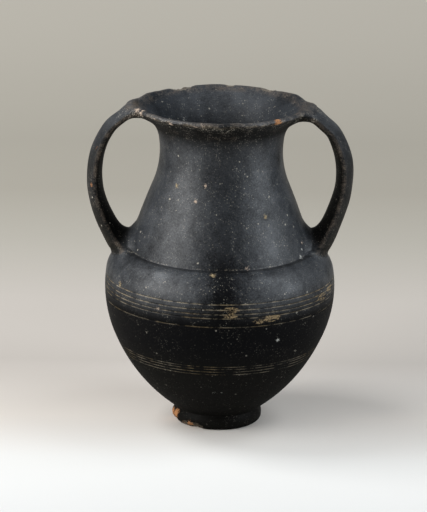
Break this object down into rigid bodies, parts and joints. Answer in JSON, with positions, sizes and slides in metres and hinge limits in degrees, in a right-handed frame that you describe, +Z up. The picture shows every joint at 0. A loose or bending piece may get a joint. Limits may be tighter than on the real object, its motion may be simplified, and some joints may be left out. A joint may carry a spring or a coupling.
{
  "type": "miniature amphora",
  "caption": "Small black clay amphora with a flaring lip, two strap handles from lip to shoulder, incised lines round the belly and a low ring foot.",
  "frame": {"origin": "middle of the foot's resting plane", "axes": "+Z up along the vessel's axis; the two handles lie along X; -Y is the side the picture shows"},
  "size_m": [0.0936, 0.0802, 0.1152],
  "materials": {
    "black_clay": "burnished black fired clay, worn, with pale deposits in the incised lines"
  },
  "bodies": {
    "root": {"amphora": "black_clay"}
  },
  "joints": []
}
